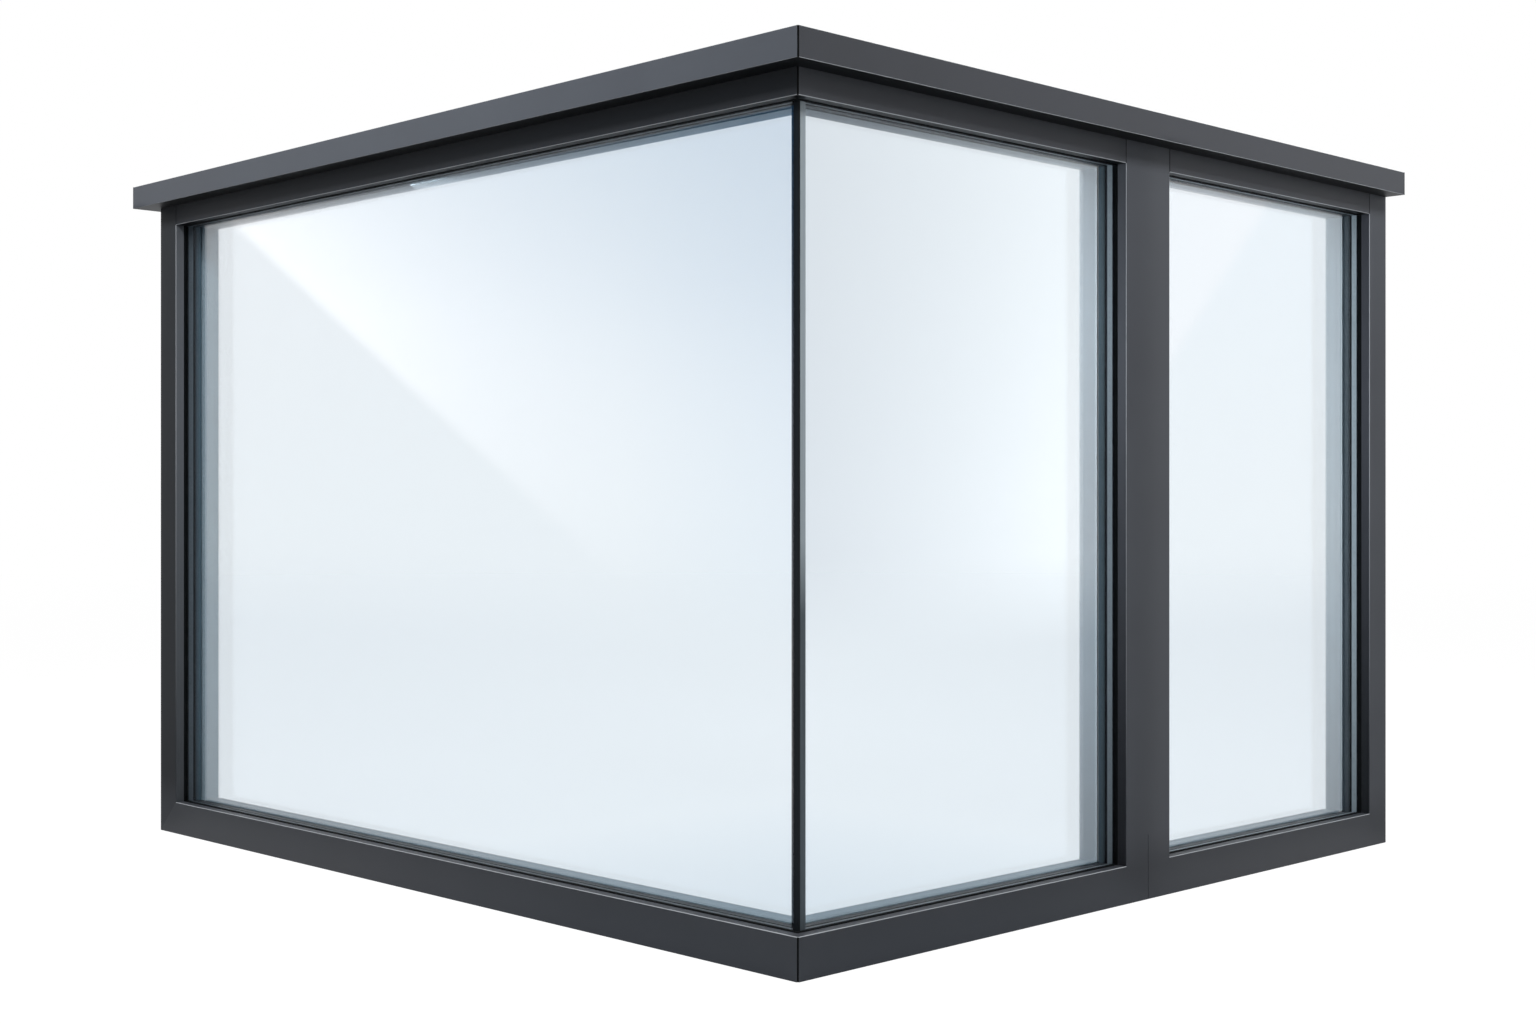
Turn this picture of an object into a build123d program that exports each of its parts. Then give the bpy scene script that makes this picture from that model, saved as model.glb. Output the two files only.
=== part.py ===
"""Corner window: two glazed wings that meet at a bare glass corner, under one flat cap.

Millimetres, +Z up. The origin is the outer bottom corner of the frame, where both wings start.
The right wing runs along +X and faces -Y. The left wing runs along +Y and faces -X.
Depths are counted from a wing's outer face inward.
"""

import os
from dataclasses import dataclass

from build123d import *

os.makedirs("parts", exist_ok=True)

# Overall sizes
left_length = 2090.0
right_length = 1880.0
corner_bay_length = 958.0
frame_height = 1450.0
cap_height = 50.0

# Frame bars: the face is the width seen from outside
frame_face = 72.0
head_face = 45.0
frame_depth = 120.0
frame_wall = 3.0
outer_leg_depth = 20.0
pocket_height = 25.0
arris_radius = 1.5

# Glazing, in the order it is met from outside
outer_gasket_depth = 8.0
pane_thickness = 6.0
cavity_depth = 16.0
inner_gasket_depth = 3.0
bead_wall = 2.0

# How far the glazing reaches past the sight line into the pocket, or stands out of it
glass_bite = 15.0
gasket_bite = 14.0
gasket_lip = 1.5
gasket_lip_radius = 2.5
spacer_width = 14.0
setting_block_length = 100.0
setting_block_share = 0.2

# Glass corner
corner_joint = 2.0
corner_spacer_width = 6.0
corner_angle_left_leg = 9.0
corner_angle_right_leg = 18.0
inner_angle_leg = 5.0
corner_angle_thickness = 2.0

# Cap
cap_overhang = 46.0
left_end_overhang = 46.0
right_end_overhang = 0.0
cap_wall = 3.0
cap_arris_radius = 1.0
end_plate_thickness = 3.0
end_plate_chamfer = 0.8

# Seams seen on the outside
mitre_slot_width = 3.0
mitre_slot_depth = 3.0
mitre_seal_recess = 1.5
mitre_seal_end_gap = 1.0
head_seam_cut = 1.5
coupling_seam_cut = 1.2
coupling_seam_height = 124.0

# Levels and depths that follow from the sizes above
sill_line = frame_face
head_line = frame_height - head_face
sill_pocket_floor = frame_face - pocket_height
head_pocket_floor = head_face - pocket_height
glass_outer = outer_leg_depth + outer_gasket_depth
outer_cavity_start = glass_outer + pane_thickness
outer_cavity_end = outer_cavity_start + cavity_depth
inner_cavity_start = outer_cavity_end + pane_thickness
inner_cavity_end = inner_cavity_start + cavity_depth
glass_inner = inner_cavity_end + pane_thickness
bead_outer = glass_inner + inner_gasket_depth
web_depth = (outer_leg_depth + frame_depth - frame_wall) / 2
setting_block_height = pocket_height - glass_bite
cap_depth = cap_overhang + frame_depth

up = Vector(0, 0, 1)
down = Vector(0, 0, -1)


@dataclass
class Bay:
    """One glazed bay, from its first frame edge to its last, counted along its wing."""

    name: str
    along: Vector
    inward: Vector
    first: float
    last: float
    at_corner: bool

    def point(self, distance, depth=0.0, level=0.0):
        return self.along * distance + self.inward * depth + up * level

    def plan(self, distance, depth):
        place = self.point(distance, depth)
        return (place.X, place.Y)


left_bay = Bay("left", Vector(0, 1, 0), Vector(1, 0, 0), 0.0, left_length, True)
right_bay = Bay("right", Vector(1, 0, 0), Vector(0, 1, 0), 0.0, corner_bay_length, True)
side_bay = Bay("side", Vector(1, 0, 0), Vector(0, 1, 0), corner_bay_length, right_length, False)
bays = [left_bay, right_bay, side_bay]


def save(part, name):
    part.label = name
    export_step(part, f"parts/{name}.step")


def section_plane(origin, inward, toward_opening):
    """A plane whose X is depth and whose Y is the distance from the bar's outer edge."""
    return Plane(origin=origin, x_dir=inward, z_dir=inward.cross(toward_opening))


def corner_mitre(bay):
    """The upright plane through the corner that parts the wings; its top side is the bay's own."""
    return Plane(origin=(0, 0, 0), z_dir=bay.along - bay.inward)


def last_mitre(bay):
    """The slope from a bay's last bottom corner to its sight line; the upright is on its top side."""
    return Plane(origin=bay.point(bay.last), z_dir=bay.along + up)


def first_mitre(bay):
    """The slope from a bay's first bottom corner to its sight line; the upright is on its top side."""
    return Plane(origin=bay.point(bay.first), z_dir=up - bay.along)


def box_section(plane, depths, heights):
    """A rectangle in a bar's section, between two depths and two heights."""
    centre = ((depths[0] + depths[1]) / 2, (heights[0] + heights[1]) / 2)
    with BuildSketch(plane) as box:
        with Locations(centre):
            Rectangle(depths[1] - depths[0], heights[1] - heights[0])
    return box.sketch


def frame_section(plane, face):
    """The hollow frame bar: an outer leg, an open glazing pocket and three closed chambers."""
    floor = face - pocket_height
    with BuildSketch(plane) as section:
        with BuildLine():
            Polyline(
                (0, 0),
                (frame_depth, 0),
                (frame_depth, floor),
                (outer_leg_depth, floor),
                (outer_leg_depth, face),
                (0, face),
                close=True,
            )
        make_face()
        fillet(section.vertices().group_by(Axis.X)[0].sort_by(Axis.Y)[-1], arris_radius)
        chambers = [
            (frame_wall, outer_leg_depth - frame_wall, face - frame_wall),
            (outer_leg_depth, web_depth, floor - frame_wall),
            (web_depth + frame_wall, frame_depth - frame_wall, floor - frame_wall),
        ]
        for near, far, top in chambers:
            with Locations(((near + far) / 2, (frame_wall + top) / 2)):
                Rectangle(far - near, top - frame_wall, mode=Mode.SUBTRACT)
    return section.sketch


def bead_section(plane, face):
    """The hollow bead that fills the room side of the pocket, flush with the frame's inner face."""
    floor = face - pocket_height
    bead_depth = frame_depth - bead_outer
    with BuildSketch(plane) as section:
        with Locations(((bead_outer + frame_depth) / 2, (floor + face) / 2)):
            Rectangle(bead_depth, pocket_height)
        fillet(section.vertices().group_by(Axis.X)[-1].sort_by(Axis.Y)[-1], arris_radius)
        with Locations(((bead_outer + frame_depth) / 2, (floor + face) / 2)):
            Rectangle(
                bead_depth - 2 * bead_wall,
                pocket_height - 2 * bead_wall,
                mode=Mode.SUBTRACT,
            )
    return section.sketch


def cap_section(plane):
    """The hollow cap, whose near edge stands out in front of the frame."""
    with BuildSketch(plane) as section:
        with Locations((cap_depth / 2 - cap_overhang, cap_height / 2)):
            Rectangle(cap_depth, cap_height)
        fillet(section.vertices().group_by(Axis.X)[0], cap_arris_radius)
        with Locations((cap_depth / 2 - cap_overhang, cap_height / 2)):
            Rectangle(cap_depth - 2 * cap_wall, cap_height - 2 * cap_wall, mode=Mode.SUBTRACT)
    return section.sketch


def plan_shape(points, level):
    """A flat shape with straight sides, seen from above at one level."""
    with BuildSketch(Plane.XY.offset(level)) as shape:
        with BuildLine():
            Polyline(*points, close=True)
        make_face()
    return shape.sketch


def bay_strip(bay, depths, reach, corner_offset):
    """The plan of a sheet in one bay, reaching past the sight lines; its end follows the mitre."""
    near, far = depths
    if bay.at_corner:
        starts = (near + corner_offset, far + corner_offset)
    else:
        starts = (bay.first + frame_face - reach, bay.first + frame_face - reach)
    end = bay.last - frame_face + reach
    points = [
        bay.plan(starts[0], near),
        bay.plan(end, near),
        bay.plan(end, far),
        bay.plan(starts[1], far),
    ]
    return plan_shape(points, sill_line - reach)


def sheet_height(reach):
    return head_line - sill_line + 2 * reach


def seam_wedge(bay, distance, cut, levels):
    """The plan of a shallow V cut in the outer face across one line of a wing."""
    points = [
        bay.plan(distance - cut, 0),
        bay.plan(distance, cut),
        bay.plan(distance + cut, 0),
    ]
    return plan_shape(points, levels[0]), levels[1] - levels[0]


def slot_plane(corner, level):
    """A level plane at an outer corner whose X runs inward along the mitre."""
    return Plane(origin=(corner, corner, level), x_dir=(1, 1, 0), z_dir=(0, 0, 1))


def mitre_slot(corner, level):
    """The plan of the open slot that shows along a mitre on the outside."""
    with BuildSketch(slot_plane(corner, level)) as slot:
        Rectangle(2 * mitre_slot_depth, mitre_slot_width)
    return slot.sketch


def lip_edges(edges, bay):
    """The edges round an outer gasket's opening on its outer side."""

    def on_lip(edge):
        middle = edge.center()
        first_line = bay.first + frame_face
        if bay.at_corner:
            first_line = 0.0
        distance = middle.dot(bay.along)
        inside = first_line < distance < bay.last - frame_face
        level = sill_line < middle.Z < head_line
        on_outside = abs(middle.dot(bay.inward) - outer_leg_depth) < 0.001
        return inside and level and on_outside

    return edges.filter_by(on_lip)


# Sills: one hollow bar under each bay, mitred at the glass corner and at the foot of each upright
for bay in bays:
    with BuildPart() as sill:
        sill_plane = section_plane(bay.point(bay.first), bay.inward, up)
        extrude(frame_section(sill_plane, frame_face), amount=bay.last - bay.first, dir=bay.along)
        split(bisect_by=last_mitre(bay), keep=Keep.BOTTOM)
        if bay.at_corner:
            split(bisect_by=corner_mitre(bay), keep=Keep.TOP)
            extrude(mitre_slot(0.0, 0.0), amount=frame_face, mode=Mode.SUBTRACT)
        else:
            split(bisect_by=first_mitre(bay), keep=Keep.BOTTOM)
    save(sill.part, f"sill_{bay.name}")

# Heads: square cut between the uprights and coped over their outer legs
for bay in bays:
    head_start = bay.first
    if not bay.at_corner:
        head_start = bay.first + sill_pocket_floor
    head_end = bay.last - sill_pocket_floor
    with BuildPart() as head:
        head_plane = section_plane(bay.point(head_start, 0, frame_height), bay.inward, down)
        extrude(frame_section(head_plane, head_face), amount=head_end - head_start, dir=bay.along)
        copes = [(bay.last - frame_face, head_end)]
        if not bay.at_corner:
            copes.append((head_start, bay.first + frame_face))
        for cope_start, cope_end in copes:
            cope_points = [
                bay.plan(cope_start, 0),
                bay.plan(cope_end, 0),
                bay.plan(cope_end, outer_leg_depth),
                bay.plan(cope_start, outer_leg_depth),
            ]
            extrude(plan_shape(cope_points, head_line), amount=head_face, mode=Mode.SUBTRACT)
        seams = [bay.last - frame_face]
        if not bay.at_corner:
            seams.append(bay.first + frame_face)
        for seam in seams:
            wedge, wedge_height = seam_wedge(bay, seam, head_seam_cut, (head_line, frame_height))
            extrude(wedge, amount=wedge_height, mode=Mode.SUBTRACT)
        if bay.at_corner:
            split(bisect_by=corner_mitre(bay), keep=Keep.TOP)
            extrude(mitre_slot(0.0, head_line), amount=head_face, mode=Mode.SUBTRACT)
    save(head.part, f"head_{bay.name}")

# Uprights: full height under the cap, mitred at the foot; two of them pair up as the mullion
uprights = [
    ("jamb_left", left_bay, True),
    ("mullion_left_half", right_bay, True),
    ("mullion_right_half", side_bay, False),
    ("jamb_right", side_bay, True),
]
for upright_name, bay, closes_bay in uprights:
    outer_edge = bay.last if closes_bay else bay.first
    toward_opening = -bay.along if closes_bay else bay.along
    foot_mitre = last_mitre(bay) if closes_bay else first_mitre(bay)
    with BuildPart() as upright:
        upright_plane = section_plane(bay.point(outer_edge), bay.inward, toward_opening)
        extrude(frame_section(upright_plane, frame_face), amount=frame_height, dir=up)
        split(bisect_by=foot_mitre, keep=Keep.TOP)
        if upright_name.startswith("mullion"):
            wedge, wedge_height = seam_wedge(
                bay, corner_bay_length, coupling_seam_cut, (0.0, coupling_seam_height)
            )
            extrude(wedge, amount=wedge_height, mode=Mode.SUBTRACT)
    save(upright.part, upright_name)

# Cap: a hollow box along each wing, mitred over the glass corner and closed by an end plate
caps = [(left_bay, left_length + left_end_overhang), (right_bay, right_length + right_end_overhang)]
for bay, cap_end in caps:
    plate_start = cap_end - end_plate_thickness
    with BuildPart() as cap:
        cap_plane = section_plane(bay.point(-cap_overhang, 0, frame_height), bay.inward, up)
        extrude(cap_section(cap_plane), amount=plate_start + cap_overhang, dir=bay.along)
        split(bisect_by=corner_mitre(bay), keep=Keep.TOP)
        extrude(mitre_slot(-cap_overhang, frame_height), amount=cap_height, mode=Mode.SUBTRACT)
    save(cap.part, f"cap_{bay.name}")

    with BuildPart() as end_plate:
        plate_plane = section_plane(bay.point(plate_start, 0, frame_height), bay.inward, up)
        plate_face = box_section(plate_plane, (-cap_overhang, frame_depth), (0.0, cap_height))
        extrude(plate_face, amount=end_plate_thickness, dir=bay.along)
        inner_rim = end_plate.faces().sort_by(Axis((0, 0, 0), bay.along))[0].edges()
        chamfer(inner_rim, end_plate_chamfer)
    save(end_plate.part, f"cap_{bay.name}_end_plate")

# Triple panes, the two spacer frames between them and the gaskets of each bay
for bay in bays:
    panes = [
        ("outer_pane", (glass_outer, outer_cavity_start)),
        ("middle_pane", (outer_cavity_end, inner_cavity_start)),
        ("inner_pane", (inner_cavity_end, glass_inner)),
    ]
    for pane_name, pane_depths in panes:
        with BuildPart() as pane:
            pane_plan = bay_strip(bay, pane_depths, glass_bite, corner_joint)
            extrude(pane_plan, amount=sheet_height(glass_bite))
        save(pane.part, f"{bay.name}_{pane_name}")

    spacer_reach = glass_bite - spacer_width
    spacers = [
        ("spacer", (outer_cavity_start, outer_cavity_end)),
        ("inner_spacer", (inner_cavity_start, inner_cavity_end)),
    ]
    for spacer_name, cavity_depths in spacers:
        with BuildPart() as spacer:
            spacer_plan = bay_strip(bay, cavity_depths, glass_bite, corner_joint)
            extrude(spacer_plan, amount=sheet_height(glass_bite))
            window_plan = bay_strip(
                bay, cavity_depths, spacer_reach, corner_joint + corner_spacer_width
            )
            extrude(window_plan, amount=sheet_height(spacer_reach), mode=Mode.SUBTRACT)
        save(spacer.part, f"{bay.name}_{spacer_name}")

    with BuildPart() as outer_gasket:
        outer_gasket_depths = (outer_leg_depth, glass_outer)
        gasket_plan = bay_strip(bay, outer_gasket_depths, gasket_bite, 0.0)
        extrude(gasket_plan, amount=sheet_height(gasket_bite))
        opening_plan = bay_strip(bay, outer_gasket_depths, -gasket_lip, -frame_depth)
        extrude(opening_plan, amount=sheet_height(-gasket_lip), mode=Mode.SUBTRACT)
        fillet(lip_edges(outer_gasket.edges(), bay), gasket_lip_radius)
    save(outer_gasket.part, f"{bay.name}_outer_gasket")

    with BuildPart() as inner_gasket:
        inner_gasket_depths = (glass_inner, bead_outer)
        gasket_plan = bay_strip(bay, inner_gasket_depths, gasket_bite, 0.0)
        extrude(gasket_plan, amount=sheet_height(gasket_bite))
        opening_plan = bay_strip(bay, inner_gasket_depths, 0.0, -frame_depth)
        extrude(opening_plan, amount=sheet_height(0.0), mode=Mode.SUBTRACT)
    save(inner_gasket.part, f"{bay.name}_inner_gasket")

# Glazing beads: level ones run through, mitred at the corner; upright ones stand between them
for bay in bays:
    bead_start = bay.first
    if not bay.at_corner:
        bead_start = bay.first + sill_pocket_floor
    bead_length = bay.last - sill_pocket_floor - bead_start
    level_beads = [
        ("sill_bead", 0.0, up, frame_face),
        ("head_bead", frame_height, down, head_face),
    ]
    for bead_name, level, toward_opening, face in level_beads:
        with BuildPart() as level_bead:
            bead_plane = section_plane(
                bay.point(bead_start, 0, level), bay.inward, toward_opening
            )
            extrude(bead_section(bead_plane, face), amount=bead_length, dir=bay.along)
            if bay.at_corner:
                split(bisect_by=corner_mitre(bay), keep=Keep.TOP)
        save(level_bead.part, f"{bay.name}_{bead_name}")

upright_beads = [
    ("left_jamb_bead", left_bay, True),
    ("right_mullion_bead", right_bay, True),
    ("side_mullion_bead", side_bay, False),
    ("side_jamb_bead", side_bay, True),
]
for bead_name, bay, closes_bay in upright_beads:
    outer_edge = bay.last if closes_bay else bay.first
    toward_opening = -bay.along if closes_bay else bay.along
    with BuildPart() as upright_bead:
        bead_plane = section_plane(
            bay.point(outer_edge, 0, sill_line), bay.inward, toward_opening
        )
        extrude(bead_section(bead_plane, frame_face), amount=head_line - sill_line, dir=up)
    save(upright_bead.part, bead_name)

# Setting blocks: each triple pane stands on two of them in the sill's pocket
with BuildPart() as setting_blocks:
    for bay in bays:
        glass_start = bay.first + frame_face - glass_bite
        if bay.at_corner:
            glass_start = glass_inner + corner_joint
        glass_end = bay.last - frame_face + glass_bite
        glass_length = glass_end - glass_start
        for share in (setting_block_share, 1 - setting_block_share):
            middle = glass_start + share * glass_length
            block_points = [
                bay.plan(middle - setting_block_length / 2, glass_outer),
                bay.plan(middle + setting_block_length / 2, glass_outer),
                bay.plan(middle + setting_block_length / 2, glass_inner),
                bay.plan(middle - setting_block_length / 2, glass_inner),
            ]
            extrude(plan_shape(block_points, sill_pocket_floor), amount=setting_block_height)
save(setting_blocks.part, "setting_blocks")

# Silicone between the mitred edges of the two triple panes
with BuildPart() as corner_silicone:
    silicone_points = [
        (glass_outer, glass_outer),
        (glass_outer + corner_joint, glass_outer),
        (glass_inner + corner_joint, glass_inner),
        (glass_inner, glass_inner),
        (glass_inner, glass_inner + corner_joint),
        (glass_outer, glass_outer + corner_joint),
    ]
    extrude(plan_shape(silicone_points, sill_line - glass_bite), amount=sheet_height(glass_bite))
save(corner_silicone.part, "corner_silicone")

# Slim angles that cover the glass joint, standing between the gaskets; the outer one has unequal legs
outer_heel = glass_outer - corner_angle_thickness
outer_legs = (corner_angle_left_leg, corner_angle_right_leg)
inner_legs = (inner_angle_leg, inner_angle_leg)
angles = [
    ("corner_trim_outer", outer_heel, outer_legs, gasket_lip),
    ("corner_trim_inner", glass_inner, inner_legs, 0.0),
]
for angle_name, heel, (left_leg, right_leg), lip in angles:
    left_toe = heel + left_leg
    right_toe = heel + right_leg
    inside = heel + corner_angle_thickness
    with BuildPart() as corner_angle:
        angle_points = [
            (heel, heel),
            (right_toe, heel),
            (right_toe, inside),
            (inside, inside),
            (inside, left_toe),
            (heel, left_toe),
        ]
        angle_plan = plan_shape(angle_points, sill_line + lip)
        extrude(angle_plan, amount=sheet_height(-lip))
    save(corner_angle.part, angle_name)

# Black seal set back in the three mitre slots
with BuildPart() as corner_joint_seal:
    seals = [
        (0.0, 0.0, frame_face),
        (0.0, head_line, head_face),
        (-cap_overhang, frame_height, cap_height),
    ]
    for corner, level, height in seals:
        with BuildSketch(slot_plane(corner, level + mitre_seal_end_gap)) as seal_plan:
            with Locations(((mitre_seal_recess + mitre_slot_depth) / 2, 0)):
                Rectangle(mitre_slot_depth - mitre_seal_recess, mitre_slot_width)
        extrude(seal_plan.sketch, amount=height - 2 * mitre_seal_end_gap)
save(corner_joint_seal.part, "corner_joint_seal")
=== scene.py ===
# %% [markdown]
# # A corner window with a bare glass corner
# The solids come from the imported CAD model. This lesson gives them their finishes, adds the fine
# detail that is too small for CAD, and sets up a plain studio round them.

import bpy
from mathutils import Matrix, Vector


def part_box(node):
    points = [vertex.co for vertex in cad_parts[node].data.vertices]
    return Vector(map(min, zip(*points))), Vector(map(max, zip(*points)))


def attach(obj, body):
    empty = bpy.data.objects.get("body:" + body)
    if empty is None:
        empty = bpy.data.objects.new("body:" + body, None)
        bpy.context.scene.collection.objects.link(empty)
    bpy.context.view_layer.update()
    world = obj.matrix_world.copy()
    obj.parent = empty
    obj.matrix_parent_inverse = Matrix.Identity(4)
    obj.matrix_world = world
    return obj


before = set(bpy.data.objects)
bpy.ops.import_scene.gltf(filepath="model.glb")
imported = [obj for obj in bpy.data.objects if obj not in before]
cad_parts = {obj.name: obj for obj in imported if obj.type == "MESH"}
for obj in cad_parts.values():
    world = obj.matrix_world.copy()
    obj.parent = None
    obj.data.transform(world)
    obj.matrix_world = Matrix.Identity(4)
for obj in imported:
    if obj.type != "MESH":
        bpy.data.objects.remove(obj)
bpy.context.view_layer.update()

# %% [markdown]
# Colours are written as the hex values that a screen shows, and one function turns them into the linear
# light values that the renderer works with. A pattern gets its scale from its real size in millimetres.

# %% Colours and sizes
WHITE = (1, 1, 1, 1)


def linear(hex_colour):
    """The linear RGBA of a colour written as RRGGBB."""
    channels = [int(hex_colour[i : i + 2], 16) / 255 for i in (0, 2, 4)]
    light = [c / 12.92 if c <= 0.04045 else ((c + 0.055) / 1.055) ** 2.4 for c in channels]
    return (*light, 1.0)


def per_metre(size_mm):
    """The texture scale that makes a pattern repeat about every size_mm."""
    return 1000.0 / size_mm


print("a screen's middle grey in linear light:", round(linear("808080")[0], 3))

# %% [markdown]
# Every finish is a small tree of shader nodes, and one helper adds them all. It sets a node's properties
# and then fills its inputs: a socket is linked, a node is linked by the first of its outputs that is in
# use, and anything else is set as a plain number or colour.

# %% Nodes and finishes
import bpy


def add_node(tree, kind, inputs=None, **settings):
    """Adds a node to a tree, with its settings, and with its inputs set or linked."""
    made = tree.nodes.new(kind)
    for name, value in settings.items():
        setattr(made, name, value)
    for socket, value in (inputs or {}).items():
        if isinstance(value, bpy.types.Node):
            value = next(output for output in value.outputs if output.enabled)
        if isinstance(value, bpy.types.NodeSocket):
            tree.links.new(value, made.inputs[socket])
        else:
            made.inputs[socket].default_value = value
    return made


def new_finish(name):
    """An empty material and its tree."""
    finish = bpy.data.materials.new(name)
    finish.use_nodes = True
    finish.node_tree.nodes.clear()
    return finish, finish.node_tree


def dress(finish, names):
    """Gives a finish to CAD nodes, in place of the plain one that they were packed with."""
    for name in names:
        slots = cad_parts[name].data.materials
        slots.clear()
        slots.append(finish)
    print(finish.name, "on", len(names), "nodes")


print("finishes that came with the model:", len(bpy.data.materials))

# %% [markdown]
# The photograph has upright edges that stay upright, so the camera is level, and the level edges of the
# wings run to two vanishing points. Those give the focal length, 1979 pixels in a frame 1536 wide, and
# the direction of view. The camera stands 3.13 m from the corner, a little above half height.

# %% Camera
import math

PHOTO_WIDTH = 1536
PHOTO_HEIGHT = 1024
FOCAL_PIXELS = 1979
SENSOR_MM = 36
HORIZON_ROW = 508.5
VIEW_TURN_DEG = -44.5
CAMERA_PLACE = (-2.2276, -2.1994, 0.7502)
FARTHEST_SEEN = 200

scene = bpy.context.scene
lens = bpy.data.cameras.new("studio_camera")
lens.sensor_width = SENSOR_MM
lens.lens = FOCAL_PIXELS / PHOTO_WIDTH * SENSOR_MM
lens.shift_y = (HORIZON_ROW - PHOTO_HEIGHT / 2) / PHOTO_WIDTH
lens.clip_end = FARTHEST_SEEN
camera = bpy.data.objects.new("studio_camera", lens)
camera.location = CAMERA_PLACE
camera.rotation_euler = (math.radians(90), 0, math.radians(VIEW_TURN_DEG))
scene.collection.objects.link(camera)
scene.camera = camera
print("lens:", round(lens.lens, 2), "mm")

# %% [markdown]
# The studio is a white room without corners. The world is pure white to the camera and in glass and
# gloss, and a calmer white where it only lights matt surfaces, so the background is white without
# flooding the frame with light.

# %% White world
ROOM_LIGHT = 0.3

scene.view_settings.view_transform = "Standard"
world = bpy.data.worlds.new("white_room")
world.use_nodes = True
room = world.node_tree
room.nodes.clear()
ray = add_node(room, "ShaderNodeLightPath").outputs
seen_directly = ray["Is Camera Ray"]
for other_ray in (ray["Is Glossy Ray"], ray["Is Transmission Ray"]):
    seen_directly = add_node(
        room, "ShaderNodeMath", {0: seen_directly, 1: other_ray}, operation="MAXIMUM"
    ).outputs[0]
level = add_node(
    room, "ShaderNodeMapRange", {"Value": seen_directly, "To Min": ROOM_LIGHT, "To Max": 1.0}
)
sky = add_node(room, "ShaderNodeBackground", {"Color": WHITE, "Strength": level})
add_node(room, "ShaderNodeOutputWorld", {"Surface": sky})
scene.world = world
print("world:", world.name, "lights matt surfaces at", ROOM_LIGHT)

# %% [markdown]
# The floor is matt and pale. Seen directly or through glass it glows almost white, as an overexposed
# studio floor does. The rest of its colour is real light, so the window's soft shadow stays on it. Far
# off only the glow is left, as white as the world, so no horizon shows.

# %% Floor seen directly
FLOOR_GLOW_SHARE = 0.88
FLOOR_GLOW_STRENGTH = 1.08
FLOOR_GLOW_REACH = {"From Min": 4.0, "From Max": 20.0}
SCUFF_MM = 900

floor_finish, floor_tree = new_finish("matt_white_floor_paint")
floor_place = add_node(floor_tree, "ShaderNodeTexCoord").outputs["Object"]
floor_ray = add_node(floor_tree, "ShaderNodeLightPath").outputs
scuff = add_node(
    floor_tree,
    "ShaderNodeTexNoise",
    {"Vector": floor_place, "Scale": per_metre(SCUFF_MM), "Detail": 3.0},
)
floor_white = add_node(
    floor_tree,
    "ShaderNodeMix",
    {"Factor": scuff, "A": linear("E2E2E2"), "B": linear("E8E8E8")},
    data_type="RGBA",
)
floor_paint = add_node(floor_tree, "ShaderNodeBsdfDiffuse", {"Color": floor_white, "Roughness": 1.0})
far_out = add_node(floor_tree, "ShaderNodeVectorMath", {0: floor_place}, operation="LENGTH")
glow_level, glow_part = [
    add_node(
        floor_tree,
        "ShaderNodeMapRange",
        {"Value": far_out, **FLOOR_GLOW_REACH, "To Min": near, "To Max": 1.0},
    )
    for near in (FLOOR_GLOW_STRENGTH, FLOOR_GLOW_SHARE)
]
floor_glow = add_node(floor_tree, "ShaderNodeEmission", {"Color": WHITE, "Strength": glow_level})
seen = add_node(
    floor_tree,
    "ShaderNodeMath",
    {0: floor_ray["Is Camera Ray"], 1: floor_ray["Is Transmission Ray"]},
    operation="MAXIMUM",
)
glow_share = add_node(floor_tree, "ShaderNodeMath", {0: seen, 1: glow_part}, operation="MULTIPLY")
direct = add_node(floor_tree, "ShaderNodeMixShader", {0: glow_share, 1: floor_paint, 2: floor_glow})
print("floor glow from", FLOOR_GLOW_STRENGTH, "to 1 at", FLOOR_GLOW_REACH["From Max"], "m")

# %% [markdown]
# In mirrors the floor glows with a painted reflection, blue-grey next to the glass corner and pale further
# off.
# A path of light that has been mirrored at least once is known by its glossy depth.

# %% Floor seen in mirrors
MIRRORED_FLOOR_NEAR = (0.42, 0.53, 0.64, 1)
MIRRORED_FLOOR_FAR = (0.88, 0.90, 0.93, 1)
MIRRORED_FLOOR_REACH = {"From Min": 0.4, "From Max": 1.4}
HALF_A_BOUNCE = 0.5

split = add_node(floor_tree, "ShaderNodeSeparateXYZ", {0: floor_place}).outputs
along = add_node(floor_tree, "ShaderNodeMath", {0: split["X"], 1: split["Y"]}, operation="MAXIMUM")
far_off = add_node(floor_tree, "ShaderNodeMapRange", {"Value": along, **MIRRORED_FLOOR_REACH})
mirror_tone = add_node(
    floor_tree,
    "ShaderNodeMix",
    {"Factor": far_off, "A": MIRRORED_FLOOR_NEAR, "B": MIRRORED_FLOOR_FAR},
    data_type="RGBA",
)
mirrored = add_node(floor_tree, "ShaderNodeEmission", {"Color": mirror_tone, "Strength": 1.0})
once_mirrored = add_node(
    floor_tree,
    "ShaderNodeMath",
    {0: floor_ray["Glossy Depth"], 1: HALF_A_BOUNCE},
    operation="GREATER_THAN",
)
both = add_node(floor_tree, "ShaderNodeMixShader", {0: once_mirrored, 1: direct, 2: mirrored})
add_node(floor_tree, "ShaderNodeOutputMaterial", {"Surface": both})
print("floor finish:", floor_finish.name, len(floor_tree.nodes), "nodes")

# %% [markdown]
# The floor is one rectangle, so large that its edges are out of sight. It isn't part of the window.

# %% Floor
FLOOR_HALF_WIDTH = 60.0


def flat_sheet(name, corners, finish):
    """A single rectangle through four corners, which belongs to the stage."""
    mesh = bpy.data.meshes.new(name)
    mesh.from_pydata(corners, [], [(0, 1, 2, 3)])
    mesh.materials.append(finish)
    sheet = bpy.data.objects.new(name, mesh)
    scene.collection.objects.link(sheet)
    return sheet


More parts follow.
